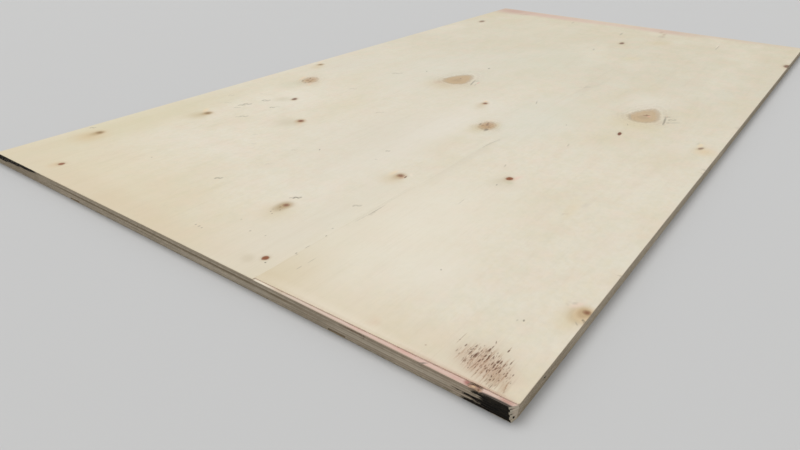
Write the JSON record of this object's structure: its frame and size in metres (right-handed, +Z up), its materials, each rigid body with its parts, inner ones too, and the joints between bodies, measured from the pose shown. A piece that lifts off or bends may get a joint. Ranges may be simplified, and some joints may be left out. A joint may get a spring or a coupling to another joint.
{
  "type": "plywood sheet",
  "caption": "Flat rectangular plywood sheet with a two-piece face veneer, a stepped near end, chipped back ply and a broken corner.",
  "frame": {"origin": "middle of the underside", "axes": "+X along the length towards the far end, +Y across the width, +Z up through the thickness"},
  "size_m": [2.44, 1.22, 0.023],
  "materials": {
    "face_veneer": "raw peeled veneer, lightly sanded",
    "crossband": "sawn edge, grain across",
    "long_ply": "sawn edge, grain along",
    "back_ply": "raw peeled veneer"
  },
  "bodies": {
    "root": {"face_veneer_wide": "face_veneer", "face_veneer_narrow": "face_veneer", "upper_crossband": "crossband", "upper_long_ply": "long_ply", "centre_crossband": "crossband", "lower_long_ply": "long_ply", "lower_crossband": "crossband", "back_ply": "back_ply"}
  },
  "joints": []
}
